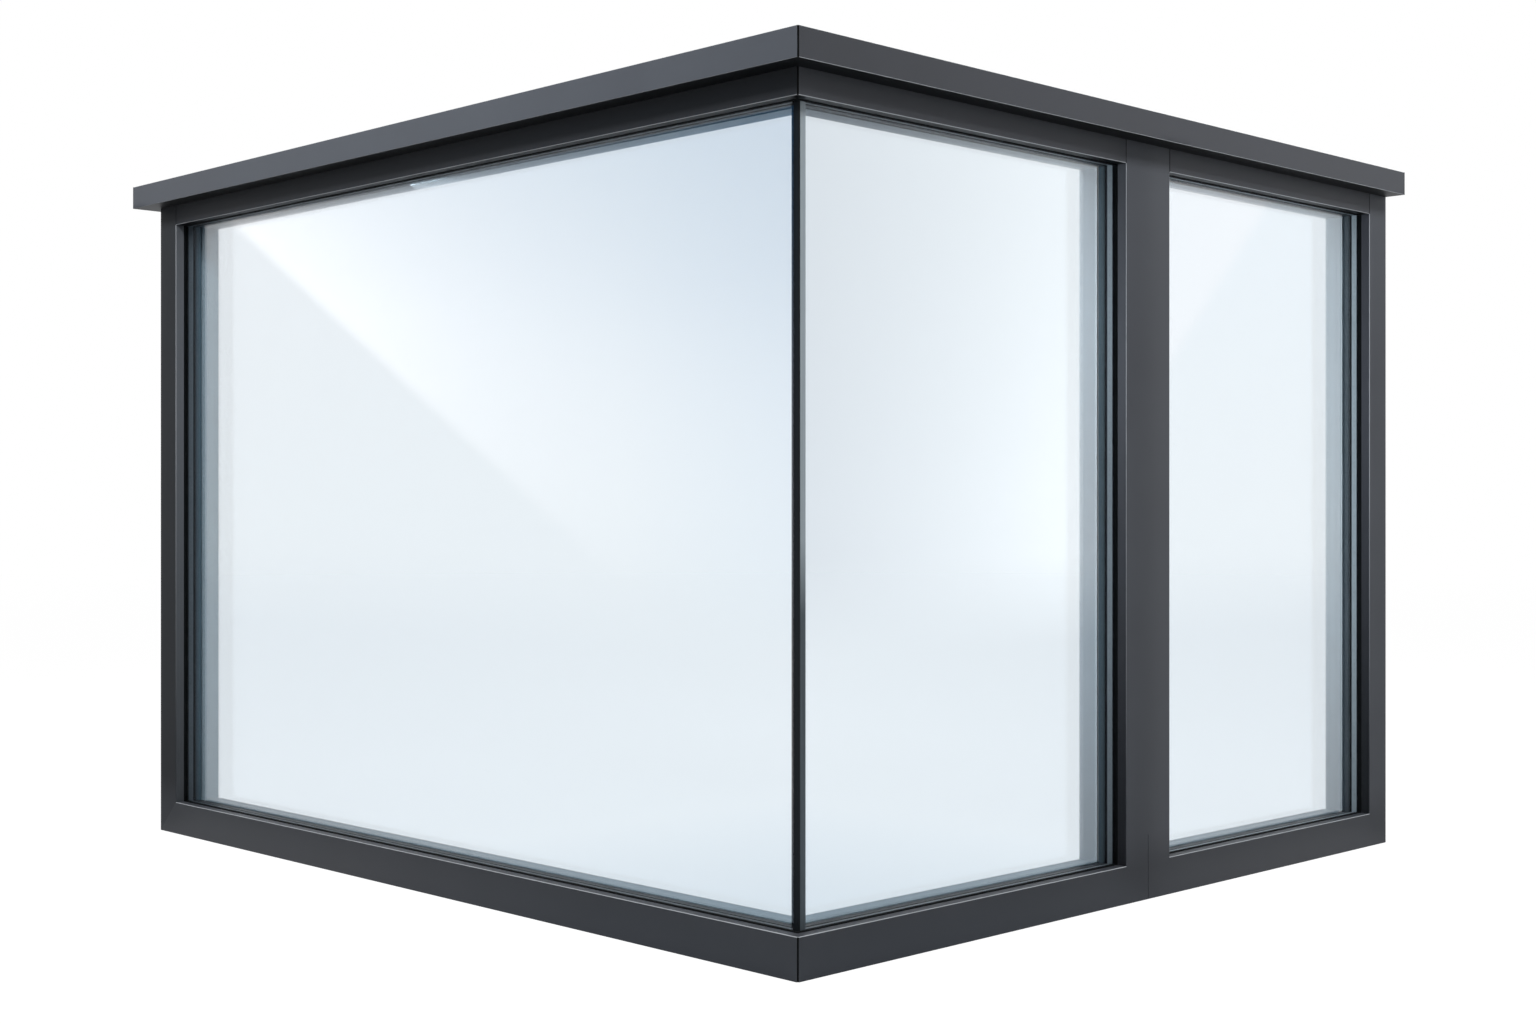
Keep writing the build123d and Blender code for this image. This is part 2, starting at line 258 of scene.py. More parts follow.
floor_corners = [(-1, -1), (1, -1), (1, 1), (-1, 1)]
floor = flat_sheet(
    "studio_floor",
    [(x * FLOOR_HALF_WIDTH, y * FLOOR_HALF_WIDTH, 0) for x, y in floor_corners],
    floor_finish,
)
print(floor.name, tuple(floor.dimensions))

# %% [markdown]
# Each pane mirrors what stands beside the camera. Sheets that only mirrored paths see paint that reflection
# in its place, so they light nothing else and don't show through the glass. One helper makes their finish
# and another stands them upright in front of a wing.

# %% Sheets for the mirrors


def mirror_glow(name, tone_of):
    """A material that glows as a painted reflection in mirrors only; tone_of makes its colour from a tree
    and X, Y and Z.
    """
    finish, tree = new_finish(name)
    place = add_node(tree, "ShaderNodeTexCoord").outputs["Object"]
    xyz = add_node(tree, "ShaderNodeSeparateXYZ", {0: place}).outputs
    glow = add_node(tree, "ShaderNodeEmission", {"Color": tone_of(tree, xyz), "Strength": 1.0})
    unseen = add_node(tree, "ShaderNodeBsdfTransparent", {"Color": WHITE})
    bounces = add_node(tree, "ShaderNodeLightPath").outputs["Glossy Depth"]
    in_mirror = add_node(
        tree, "ShaderNodeMath", {0: bounces, 1: HALF_A_BOUNCE}, operation="GREATER_THAN"
    )
    shown = add_node(tree, "ShaderNodeMixShader", {0: in_mirror, 1: unseen, 2: glow})
    add_node(tree, "ShaderNodeOutputMaterial", {"Surface": shown})
    return finish


def mirror_sheet(name, axis, away, stretch, heights, finish):
    """An upright sheet that stands away in front of a wing, along a stretch of the wing's axis."""
    corners = []
    for end, edge in ((0, 0), (1, 0), (1, 1), (0, 1)):
        distance, height = stretch[end], heights[edge]
        corners.append((distance, -away, height) if axis == "X" else (-away, distance, height))
    sheet = flat_sheet(name, corners, finish)
    sheet.visible_camera = False
    sheet.visible_diffuse = False
    sheet.visible_shadow = False
    print(name, "stands", away, "m in front, from", round(stretch[0], 3), "to", round(stretch[1], 3))


print("a mirrored path has a glossy depth over", HALF_A_BOUNCE)

# %% [markdown]
# In the photograph the mirrored light is large and soft: a light with a slanted edge, bright along the
# slant and fading to deep blue towards the glass corner in the left pane, a plain fade in the right one,
# and a fainter slant in the side light. So the tone of a panel is built up in three layers: a fade from
# its plain tone to its top, the slanted edge over that, and a shade towards the glass corner.

# %% Tone of a panel
TOP_FADE = {"From Min": 0.8, "From Max": 2.4}
EDGE_SOFTNESS = 0.06


def slanted_edge(tree, xyz, axis, tone, tones, edge, fade, edge_rise):
    """Lays a light with a slanted edge over a tone."""
    foot, lean = edge
    slant = add_node(
        tree, "ShaderNodeMath", {0: xyz["Z"], 1: -lean, 2: xyz[axis]}, operation="MULTIPLY_ADD"
    )
    back = add_node(
        tree, "ShaderNodeMapRange", {"Value": slant, "From Min": foot, "From Max": foot - fade}
    )
    behind = add_node(
        tree, "ShaderNodeMix", {"Factor": back, "A": tones["edge"], "B": tones["far"]}, data_type="RGBA"
    )
    inside = add_node(
        tree,
        "ShaderNodeMapRange",
        {"Value": slant, "From Min": foot + EDGE_SOFTNESS, "From Max": foot - EDGE_SOFTNESS},
    )
    clear = add_node(
        tree, "ShaderNodeMapRange", {"Value": xyz["Z"], "From Min": edge_rise[0], "From Max": edge_rise[1]}
    )
    share = add_node(tree, "ShaderNodeMath", {0: inside, 1: clear}, operation="MULTIPLY")
    return add_node(tree, "ShaderNodeMix", {"Factor": share, "A": tone, "B": behind}, data_type="RGBA")


def corner_shade(tree, xyz, axis, tone, tones, corner_reach):
    """Lays a painted shade over a tone towards the glass corner."""
    near, far = corner_reach
    closeness = add_node(
        tree, "ShaderNodeMapRange", {"Value": xyz[axis], "From Min": far, "From Max": near}
    )
    shade = add_node(
        tree, "ShaderNodeMix", {"Factor": closeness, "A": WHITE, "B": tones["corner"]}, data_type="RGBA"
    )
    return add_node(
        tree,
        "ShaderNodeMix",
        {"Factor": 1.0, "A": tone, "B": shade},
        data_type="RGBA",
        blend_type="MULTIPLY",
    )


print("a slanted edge is", 2 * EDGE_SOFTNESS, "m wide")

# %% [markdown]
# A panel stands opposite each pane, out of the camera's view, and glows with the painted reflection that the
# pane shows. Its foot fades into the tone of the mirrored floor, so that the line between them doesn't show
# in the glass.

# %% Panels that the glass mirrors
PANEL_AWAY = 4.48
PANEL_HEIGHTS = (0.0, 3.6)
FOOT_FADE = {"From Min": 0.5, "From Max": 0.0}


def mirror_panel(name, axis, stretch, tones, edge=None, fade=1.0, edge_rise=None, corner_reach=None):
    """A panel glowing with a painted reflection, with a slanted edge and a darker end of painted shade.

    edge is where the slanted edge meets the floor and how far it leans for each metre of height. fade
    is the width of the gradient behind the edge, edge_rise the heights over which the edge grows clear,
    and corner_reach the stretch over which the panel darkens towards the glass corner.
    """

    def tone_of(tree, xyz):
        rise = add_node(tree, "ShaderNodeMapRange", {"Value": xyz["Z"], **TOP_FADE})
        tone = add_node(
            tree, "ShaderNodeMix", {"Factor": rise, "A": tones["plain"], "B": tones["top"]}, data_type="RGBA"
        )
        if edge:
            tone = slanted_edge(tree, xyz, axis, tone, tones, edge, fade, edge_rise)
        if corner_reach:
            tone = corner_shade(tree, xyz, axis, tone, tones, corner_reach)
        low = add_node(tree, "ShaderNodeMapRange", {"Value": xyz["Z"], **FOOT_FADE})
        foot_tone = {"Factor": low, "A": tone, "B": MIRRORED_FLOOR_FAR}
        return add_node(tree, "ShaderNodeMix", foot_tone, data_type="RGBA")

    finish = mirror_glow(name + "_painted_reflection", tone_of)
    mirror_sheet(name, axis, PANEL_AWAY, stretch, PANEL_HEIGHTS, finish)


mirror_panel(
    "left_panel",
    "Y",
    (2.6, 14.0),
    {
        "plain": (1.03, 1.03, 1.03, 1),
        "top": (1.06, 1.03, 1.03, 1),
        "edge": (1.6, 1.52, 1.5, 1),
        "far": (0.12, 0.3, 0.52, 1),
        "corner": (0.78, 0.86, 0.95, 1),
    },
    edge=(5.19, 1.746),
    fade=5.0,
    edge_rise=(0.3, 1.9),
    corner_reach=(4.2, 5.8),
)
mirror_panel(
    "right_panel",
    "X",
    (2.6, 7.37),
    {
        "plain": (1.5, 1.5, 1.5, 1),
        "top": (1.22, 1.22, 1.22, 1),
        "corner": (0.26, 0.27, 0.32, 1),
    },
    corner_reach=(4.2, 6.7),
)
mirror_panel(
    "side_panel",
    "X",
    (7.37, 14.0),
    {
        "plain": (1.1, 1.1, 1.1, 1),
        "top": (1.1, 1.12, 1.15, 1),
        "edge": (1.3, 1.24, 1.24, 1),
        "far": (1.1, 1.1, 1.12, 1),
    },
    edge=(6.12, 1.025),
    fade=6.0,
    edge_rise=(0.9, 1.6),
)

# %% [markdown]
# Close to the frame the glass mirrors something dark. Flags paint that dark reflection: sheets that glow a
# near-black tone for mirrored paths only, a narrow one in front of each upright, just aside of what it
# darkens, and a slim one along each sill. That one is at the height at which the panes mirror it over the
# spacers: a mirror image lies as far behind the glass as the flag stands in front of it. Each flag starts
# from the outer side of its own bar, which the frame gives.

# %% Flags that paint a dark reflection
FLAG_AWAY = 0.06
FLAG_WIDTH = 0.09
FLAG_HEIGHTS = (0.0, 1.46)
SILL_FLAG_HEIGHTS = (0.043, 0.059)

dark_reflection_finish = mirror_glow("painted_dark_reflection", lambda tree, xyz: linear("1A1D20"))
left_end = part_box("jamb_left")[1].y
mullion_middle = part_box("mullion_right_half")[0].x
right_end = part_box("jamb_right")[1].x
for upright, axis, start in (
    ("left_jamb", "Y", left_end + 0.006),
    ("mullion", "X", mullion_middle),
    ("right_jamb", "X", right_end + 0.013),
):
    flag_stretch = (start, start + FLAG_WIDTH)
    mirror_sheet(upright + "_flag", axis, FLAG_AWAY, flag_stretch, FLAG_HEIGHTS, dark_reflection_finish)
for wing, axis, length in (("left", "Y", left_end), ("right", "X", right_end)):
    mirror_sheet(wing + "_sill_flag", axis, FLAG_AWAY, (0.0, length), SILL_FLAG_HEIGHTS, dark_reflection_finish)

# %% [markdown]
# A long soft lamp hangs high in front of each wing, so that the cap shades the heads and the uprights
# grow darker towards the floor. A third lamp stands further off on the right, and one in the room lights
# the glazing beads behind the glass. They are area lamps, because their size makes the shadows soft, and
# mirrors don't show them.

# %% Soft lamps
from mathutils import Vector


def soft_lamp(name, place, target, size, power, spread_deg=180):
    """A rectangular area lamp turned to a target; a small spread works like a grid in front of it."""
    lamp = bpy.data.lights.new(name, "AREA")
    lamp.shape = "RECTANGLE"
    lamp.size, lamp.size_y = size
    lamp.energy = power
    lamp.spread = math.radians(spread_deg)
    holder = bpy.data.objects.new(name, lamp)
    holder.location = place
    aim = Vector(target) - Vector(place)
    holder.rotation_euler = aim.to_track_quat("-Z", "Y").to_euler()
    holder.visible_camera = False
    holder.visible_glossy = False
    holder.visible_transmission = False
    scene.collection.objects.link(holder)
    print(name, power, "W")


soft_lamp("left_high_lamp", (-1.7, 1.0, 2.9), (0.0, 1.0, 1.4), (2.8, 0.6), 95)
soft_lamp("right_high_lamp", (1.5, -1.7, 2.9), (1.4, 0.0, 1.3), (2.6, 0.6), 65)
soft_lamp("right_front_lamp", (3.6, -4.2, 1.8), (1.3, 0.0, 0.9), (2.2, 1.6), 45)
soft_lamp("room_lamp", (0.2, 1.3, 1.0), (1.3, 0.1, 0.95), (0.5, 1.0), 12, spread_deg=70)

# %% [markdown]
# The frame is extruded aluminium with a satin powder coat in anthracite: paint that is sprayed as dry powder
# and baked. Its arrises get a painted highlight in a paler tone. An arris is found by its normal, which
# leans away from all three axes, and one along a level edge leans up or down.

# %% Arrises of the bars
STRAIGHT = 0.99
LEANING = 0.9


def edge_masks(tree, facing):
    """How far a face is an arris of any kind, and how far it is one along a level edge."""
    lengths = add_node(tree, "ShaderNodeVectorMath", {0: facing}, operation="ABSOLUTE")
    xyz = add_node(tree, "ShaderNodeSeparateXYZ", {0: lengths}).outputs
    masks = []
    for operation in ("MAXIMUM", "ADD"):
        sideways = add_node(tree, "ShaderNodeMath", {0: xyz["X"], 1: xyz["Y"]}, operation=operation)
        most = add_node(tree, "ShaderNodeMath", {0: sideways, 1: xyz["Z"]}, operation="MAXIMUM")
        masks.append(
            add_node(
                tree, "ShaderNodeMapRange", {"Value": most, "From Min": STRAIGHT, "From Max": LEANING}
            )
        )
    return masks


OPENING_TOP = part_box("head_left")[0].z
print("openings end", round(OPENING_TOP, 4), "m above the floor")

# %% [markdown]
# The same paint is given several tones of painted light and shade. At their feet the uprights take the tone
# of the sills. A reveal, the side of an upright that looks at the glass, gets painted light on the left jamb
# and painted shade on the right wing, undersides get a nearly black painted shade, and the painted
# highlights on the arrises fade towards the floor. Above the openings an upright edge is a seam between two
# bars, so it is dark.

# %% Tone of the powder coat
ARRIS_RISE = {"From Min": 0.2, "From Max": 0.95}
FOOT_RISE = {"From Min": 0.06, "From Max": 0.13}
SILL_TONES = ("35373B", "3D3F44")
SEAM_TONE = "1C1D1F"
UNDERSIDE_TONE = "0B0C0D"
LOOKS_BACK = -0.9


def coat_tone(tree, place, cloud, tones, arris, upright, reveal, under):
    """The colour of the paint with its painted light and shade, by how high a face is and which way it
    looks.
    """
    height = add_node(tree, "ShaderNodeSeparateXYZ", {0: place}).outputs["Z"]
    facing = add_node(tree, "ShaderNodeNewGeometry").outputs["True Normal"]
    normal = add_node(tree, "ShaderNodeSeparateXYZ", {0: facing}).outputs
    arris_rise = add_node(tree, "ShaderNodeMapRange", {"Value": height, **ARRIS_RISE})

    def mix(factor, first, second):
        return {"Factor": factor, "A": first, "B": second}

    colours = mix(cloud, linear(tones[0]), linear(tones[1]))
    tone = add_node(tree, "ShaderNodeMix", colours, data_type="RGBA")
    arris_highlight = linear(arris)
    if upright:
        colours = mix(cloud, linear(SILL_TONES[0]), linear(SILL_TONES[1]))
        foot = add_node(tree, "ShaderNodeMix", colours, data_type="RGBA")
        foot_rise = add_node(tree, "ShaderNodeMapRange", {"Value": height, **FOOT_RISE})
        tone = add_node(tree, "ShaderNodeMix", mix(foot_rise, foot, tone), data_type="RGBA")
        arris_highlight = add_node(tree, "ShaderNodeMix", mix(arris_rise, tone, arris_highlight), data_type="RGBA")
    below_heads = add_node(tree, "ShaderNodeMath", {0: height, 1: OPENING_TOP}, operation="LESS_THAN")
    colours = mix(below_heads, linear(SEAM_TONE), arris_highlight)
    upright_edge = add_node(tree, "ShaderNodeMix", colours, data_type="RGBA")
    if reveal:
        axis, low_tone, high_tone = reveal
        on_reveal = add_node(
            tree, "ShaderNodeMath", {0: normal[axis], 1: LOOKS_BACK}, operation="LESS_THAN"
        )
        colours = mix(arris_rise, linear(low_tone), linear(high_tone))
        shade = add_node(tree, "ShaderNodeMix", colours, data_type="RGBA")
        tone = add_node(tree, "ShaderNodeMix", mix(on_reveal, tone, shade), data_type="RGBA")
    on_underside = add_node(
        tree, "ShaderNodeMath", {0: normal["Z"], 1: LOOKS_BACK}, operation="LESS_THAN"
    )
    on_any_edge, on_level_edge = edge_masks(tree, facing)
    for factor, colour in (
        (on_underside, linear(under)),
        (on_any_edge, upright_edge),
        (on_level_edge, linear(arris)),
    ):
        tone = add_node(tree, "ShaderNodeMix", mix(factor, tone, colour), data_type="RGBA")
    return tone


print("arrises are palest above", ARRIS_RISE["From Max"], "m")

# %% [markdown]
# Powder paint has a soft even sheen, slight clouding where the film is thicker or thinner, and a fine
# orange peel that only shows close up. It covers the metal, so the shader isn't metallic.

# %% Powder coat
CLOUD_MM = 240
PEEL_MM = 2.2
PEEL_DEPTH = 0.0004
PEEL_STRENGTH = 0.05


def powder_coat(name, tones, arris, sheen=0.2, upright=False, reveal=None, under=UNDERSIDE_TONE):
    """Baked powder paint with a faint clouding, painted highlights on the arrises, dark seams and a fine
    orange peel.

    reveal is the axis that a reveal faces backwards along, and the tones of its painted light and shade at
    the foot and at the top. under is the painted shade of an underside.
    """
    finish, tree = new_finish(name)
    place = add_node(tree, "ShaderNodeTexCoord").outputs["Object"]
    cloud = add_node(
        tree,
        "ShaderNodeTexNoise",
        {"Vector": place, "Scale": per_metre(CLOUD_MM), "Detail": 3.0, "Roughness": 0.55},
    )
    peel = add_node(
        tree, "ShaderNodeTexNoise", {"Vector": place, "Scale": per_metre(PEEL_MM), "Detail": 1.0}
    )
    paint = add_node(
        tree,
        "ShaderNodeBsdfPrincipled",
        {
            "Base Color": coat_tone(tree, place, cloud, tones, arris, upright, reveal, under),
            "Roughness": add_node(
                tree, "ShaderNodeMapRange", {"Value": cloud, "To Min": 0.42, "To Max": 0.54}
            ),
            "Specular IOR Level": sheen,
            "Normal": add_node(
                tree,
                "ShaderNodeBump",
                {"Height": peel, "Strength": PEEL_STRENGTH, "Distance": PEEL_DEPTH},
            ),
        },
    )
    add_node(tree, "ShaderNodeOutputMaterial", {"Surface": paint})
    return finish


print("orange peel of", PEEL_MM, "mm in a film that clouds over", CLOUD_MM, "mm")

# %% [markdown]
# The bars are copies of one paint in tones of painted light and shade: darkest on the left jamb and the left
# head, lighter on the sills and the right heads, lighter again on the uprights of the right wing, and
# lightest on the left cap.

# %% Frame and cap
DARK_ARRIS = "8E9196"
LIGHT_TONES = ("3B3D42", "45484D")
LIGHT_ARRIS = "9A9EA4"

wings = ("left", "right", "side")
dark_jamb_coat = powder_coat(
    "satin_anthracite_coat_dark",
    ("25272A", "2C2E31"),
    DARK_ARRIS,
    sheen=0.1,
    upright=True,
    reveal=("Y", "4A4D51", "5A5D62"),
)
dark_head_coat = powder_coat(
    "satin_anthracite_coat_dark_head", ("24262A", "2B2D30"), DARK_ARRIS, sheen=0.1
)
plain_coat = powder_coat("satin_anthracite_coat", SILL_TONES, "A9ADB2")
light_coat = powder_coat(
    "satin_anthracite_coat_light",
    LIGHT_TONES,
    LIGHT_ARRIS,
    upright=True,
    reveal=("X", "222327", "46474C"),
)
shaded_jamb_coat = powder_coat(
    "satin_anthracite_coat_shaded",
    LIGHT_TONES,
    LIGHT_ARRIS,
    upright=True,
    reveal=("X", "181A1D", "34353A"),
)
cap_coat = powder_coat("satin_anthracite_cap_coat_painted_light", ("3F4248", "484C52"), "6E7277")

dress(dark_jamb_coat, ["jamb_left"])
dress(dark_head_coat, ["head_left"])
dress(plain_coat, [f"sill_{wing}" for wing in wings] + ["head_right", "head_side"])
dress(plain_coat, ["cap_right", "cap_right_end_plate"])
dress(light_coat, ["mullion_left_half", "mullion_right_half"])
dress(shaded_jamb_coat, ["jamb_right"])
dress(cap_coat, ["cap_left", "cap_left_end_plate"])

# %% [markdown]
# The glazing beads hold the panes from the room side. Through the glass they show as pale blue-grey bands,
# so they have the same kind of paint in that colour, with painted light making it a little lighter on the
# left jamb and painted shade making it a little darker on the mullion.

# %% Glazing beads
bead_coat = powder_coat("satin_pale_blue_grey_coat", ("8D979D", "98A2A8"), "A4ADB2", under="BCC6CC")
pale_bead_coat = powder_coat("satin_pale_blue_grey_coat_light", ("A8B8C0", "B2C2CA"), "BAC8CE")
dark_bead_coat = powder_coat("satin_pale_blue_grey_coat_dark", ("868F96", "919AA1"), "9CA5AA")

dress(bead_coat, [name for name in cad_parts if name.endswith("_bead")])
dress(pale_bead_coat, ["left_jamb_bead"])
dress(dark_bead_coat, ["right_mullion_bead"])

# %% [markdown]
# The panes are float glass, faintly blue, and flat enough to mirror straight lines with only a long
# slow wave from the rollers it was toughened on. They are real sheets 6 mm thick in threes, so they
# bend and mirror light at all six faces, as a triple pane does. Lamps have to reach what is behind the
# glass, so for shadow rays the sheet is simply clear.

# %% Float glass
ROLLER_WAVE_MM = 320
ROLLER_WAVE_DEPTH = 0.0005
ROLLER_WAVE_STRENGTH = 0.02
GLASS_IOR = 1.52

glass, tree = new_finish("pale_blue_float_glass")
place = add_node(tree, "ShaderNodeTexCoord").outputs["Object"]
wave = add_node(
    tree, "ShaderNodeTexNoise", {"Vector": place, "Scale": per_metre(ROLLER_WAVE_MM), "Detail": 0.0}
)
ripple = add_node(
    tree,
    "ShaderNodeBump",
    {"Height": wave, "Strength": ROLLER_WAVE_STRENGTH, "Distance": ROLLER_WAVE_DEPTH},
)
pane = add_node(
    tree,
    "ShaderNodeBsdfPrincipled",
    {
        "Base Color": linear("F7FAFC"),
        "Roughness": 0.0,
        "IOR": GLASS_IOR,
        "Transmission Weight": 1.0,
        "Normal": ripple,
    },
)
clear = add_node(tree, "ShaderNodeBsdfTransparent", {"Color": linear("F8FAFB")})
shadow_ray = add_node(tree, "ShaderNodeLightPath").outputs["Is Shadow Ray"]
sheet = add_node(tree, "ShaderNodeMixShader", {0: shadow_ray, 1: pane, 2: clear})
add_node(tree, "ShaderNodeOutputMaterial", {"Surface": sheet})
dress(glass, [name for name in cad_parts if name.endswith("_pane")])

# %% [markdown]
# Gaskets, the corner silicone and the seal in the mitres are rubber: EPDM strips that are extruded, and
# silicone that is gunned in and smoothed. Both are nearly matt, with a faint bloom that lightens them in
# patches. The outer gaskets are black. The inner ones are pale grey, because the photograph shows no
# dark line between the inner spacer and the bead. Setting blocks are black plastic with the same skin.

# %% Rubber


def rubber(name, dark, bloom, rough, patch_mm):
    """Rubber with a patchy bloom."""
    finish, tree = new_finish(name)
    place = add_node(tree, "ShaderNodeTexCoord").outputs["Object"]
    patch = add_node(
        tree, "ShaderNodeTexNoise", {"Vector": place, "Scale": per_metre(patch_mm), "Detail": 4.0}
    )
    colour = add_node(
        tree,
        "ShaderNodeMix",
        {"Factor": patch, "A": linear(dark), "B": linear(bloom)},
        data_type="RGBA",
    )
    skin = add_node(
        tree,
        "ShaderNodeBsdfPrincipled",
        {"Base Color": colour, "Roughness": rough, "Specular IOR Level": 0.08},
    )
    add_node(tree, "ShaderNodeOutputMaterial", {"Surface": skin})
    return finish


black_epdm = rubber("black_epdm_rubber", "050607", "0E1012", 0.7, 30)
grey_epdm = rubber("pale_grey_epdm_rubber", "B0BAC0", "BCC6CC", 0.7, 30)
silicone = rubber("black_silicone", "030303", "090909", 0.6, 60)
polypropylene = rubber("black_polypropylene", "0A0A0A", "161616", 0.6, 12)
dress(black_epdm, [f"{wing}_outer_gasket" for wing in wings])
dress(grey_epdm, [f"{wing}_inner_gasket" for wing in wings])
dress(silicone, ["corner_silicone", "corner_joint_seal"])
dress(polypropylene, ["setting_blocks"])

# %% [markdown]
# The spacers between the panes are grey metal strips, glued to the glass with a dark line of butyl. A
# strip's place in the depth of the frame is the smaller of X and Y, because the wings lie along the two
# axes, so one material can paint the butyl on every bar. On sills and heads the outer spacers also get a
# painted shade in the butyl's tone over a wider band in front. The inner spacers show the butyl in front
# only.

# %% Butyl
BUTYL_FROM_MIDDLE = 0.006
BUTYL_SOFTNESS = 0.0004
WIDE_SHADE_FROM_MIDDLE = 0.001
LOOKS_UP = 0.9


def butyl_and_shade_mask(tree, off_middle, upward, inner):
    """Where butyl covers a spacer, and where painted shade widens it on level faces, from the distance to
    its middle and how far a face looks up.
    """
    operation = "MULTIPLY" if inner else "ABSOLUTE"
    aside = add_node(tree, "ShaderNodeMath", {0: off_middle, 1: -1}, operation=operation)
    line = add_node(
        tree,
        "ShaderNodeMapRange",
        {
            "Value": aside,
            "From Min": BUTYL_FROM_MIDDLE - BUTYL_SOFTNESS,
            "From Max": BUTYL_FROM_MIDDLE,
        },
    )
    if inner:
        return line
    # On level faces the front of an outer spacer gets painted shade as well.
    upright = add_node(tree, "ShaderNodeMath", {0: upward}, operation="ABSOLUTE")
    level = add_node(tree, "ShaderNodeMath", {0: upright, 1: LOOKS_UP}, operation="GREATER_THAN")
    in_front = add_node(
        tree, "ShaderNodeMath", {0: off_middle, 1: -WIDE_SHADE_FROM_MIDDLE}, operation="LESS_THAN"
    )
    wide = add_node(tree, "ShaderNodeMath", {0: level, 1: in_front}, operation="MULTIPLY")
    return add_node(tree, "ShaderNodeMath", {0: line, 1: wide}, operation="MAXIMUM")


print("butyl starts", BUTYL_FROM_MIDDLE, "m from the middle of a spacer")

# %% [markdown]
# The metal has fine streaks from the rolls. An outer spacer is plain grey. An inner one is blue-grey, with
# painted light that makes it paler towards the room and painted shade that keeps it dark along the sills.

# %% Spacer metal
STREAK_MM = 8
STREAK_SHARE = 0.15
SILL_SPACER_SHADE = "11171B"
BUTYL_AND_SHADE_TONE = "0B0D0F"


def spacer_metal(name, middle, front, back, inner):
    """Rolled spacer metal with butyl along its edges; middle is its place in the frame's depth."""
    finish, tree = new_finish(name)
    place = add_node(tree, "ShaderNodeTexCoord").outputs["Object"]
    xyz = add_node(tree, "ShaderNodeSeparateXYZ", {0: place}).outputs
    depth = add_node(tree, "ShaderNodeMath", {0: xyz["X"], 1: xyz["Y"]}, operation="MINIMUM")
    off_middle = add_node(tree, "ShaderNodeMath", {0: depth, 1: middle}, operation="SUBTRACT")
    facing = add_node(tree, "ShaderNodeNewGeometry").outputs["True Normal"]
    upward = add_node(tree, "ShaderNodeSeparateXYZ", {0: facing}).outputs["Z"]
    share = add_node(
        tree, "ShaderNodeTexNoise", {"Vector": place, "Scale": per_metre(STREAK_MM), "Detail": 2.0}
    )
    # Painted light makes an inner spacer paler towards the room.
    if inner:
        across = add_node(
            tree,
            "ShaderNodeMapRange",
            {"Value": off_middle, "From Min": -BUTYL_FROM_MIDDLE, "From Max": BUTYL_FROM_MIDDLE},
        )
        share = add_node(
            tree, "ShaderNodeMath", {0: share, 1: STREAK_SHARE, 2: across}, operation="MULTIPLY_ADD"
        )
    metal = add_node(
        tree, "ShaderNodeMix", {"Factor": share, "A": linear(front), "B": linear(back)}, data_type="RGBA"
    )
    # Painted shade keeps an inner spacer dark on the sills.
    if inner:
        on_sill = add_node(tree, "ShaderNodeMath", {0: upward, 1: LOOKS_UP}, operation="GREATER_THAN")
        dark_sill = {"Factor": on_sill, "A": metal, "B": linear(SILL_SPACER_SHADE)}
        metal = add_node(tree, "ShaderNodeMix", dark_sill, data_type="RGBA")
    # The mask holds the butyl lines and the painted shade on level faces.
    butyl = butyl_and_shade_mask(tree, off_middle, upward, inner)
    edged = {"Factor": butyl, "A": metal, "B": linear(BUTYL_AND_SHADE_TONE)}
    colour = add_node(tree, "ShaderNodeMix", edged, data_type="RGBA")
    bar = add_node(
        tree,
        "ShaderNodeBsdfPrincipled",
        {"Base Color": colour, "Roughness": 0.45, "Specular IOR Level": 0.3},
    )
    add_node(tree, "ShaderNodeOutputMaterial", {"Surface": bar})
    return finish


print("streaks of", STREAK_MM, "mm in the metal")

# %% [markdown]
# The middle of each gap between the panes is read from the spacers of the left wing, whose depth runs along
# X. Each bay gets its own pair of finishes, in tones of painted light and shade.

# %% Spacers
SPACER_TONES = {
    "left": (("4C545A", "585F66"), ("20292F", "566A75")),
    "right": (("72797F", "7F878D"), ("1E272C", "3E4C53")),
    "side": (("7E878D", "8E979D"), ("0A0E12", "2A3338")),
}

outer_middle, inner_middle = [
    sum(corner.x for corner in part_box(name)) / 2 for name in ("left_spacer", "left_inner_spacer")
]
print("middles of the gaps:", round(outer_middle, 4), round(inner_middle, 4))
for wing, (outer_tones, inner_tones) in SPACER_TONES.items():
    outer_name = f"rolled_aluminium_spacer_{wing}"
    inner_name = f"blue_grey_steel_spacer_{wing}"
    outer_metal = spacer_metal(outer_name, outer_middle, *outer_tones, inner=False)
    inner_metal = spacer_metal(inner_name, inner_middle, *inner_tones, inner=True)
    dress(outer_metal, [f"{wing}_spacer"])
    dress(inner_metal, [f"{wing}_inner_spacer"])

# %% [markdown]
# A spacer is a hollow strip full of drying beads, so the side that faces the gap between the panes is
# pricked with a row of small holes. Each hole is painted dark with the shade inside it, with a fine speckle.

# %% Shade in the holes
SPECKLE_MM = 1.0

hole_finish, tree = new_finish("painted_shade_in_holes")
place = add_node(tree, "ShaderNodeTexCoord").outputs["Object"]
speckle = add_node(
    tree, "ShaderNodeTexNoise", {"Vector": place, "Scale": per_metre(SPECKLE_MM), "Detail": 1.0}
)
shade_colour_in_hole = add_node(
    tree,
    "ShaderNodeMix",
    {"Factor": speckle, "A": linear("101214"), "B": linear("22262A")},
    data_type="RGBA",
)
hole_shade = add_node(
    tree,
    "ShaderNodeBsdfPrincipled",
    {"Base Color": shade_colour_in_hole, "Roughness": 0.9, "Specular IOR Level": 0.05},
)
add_node(tree, "ShaderNodeOutputMaterial", {"Surface": hole_shade})
print(hole_finish.name, "with specks of", SPECKLE_MM, "mm")

# %% [markdown]
# Hundreds of equal holes along straight lines are work for Geometry Nodes: each straight side of a
# spacer is an edge, the edge becomes a curve, and the curve is cut into equal steps with a small disc on
# each, turned to face the opening. The discs lie on the strip and stand for the holes.

# %% A row of holes
DISC_CORNERS = 6

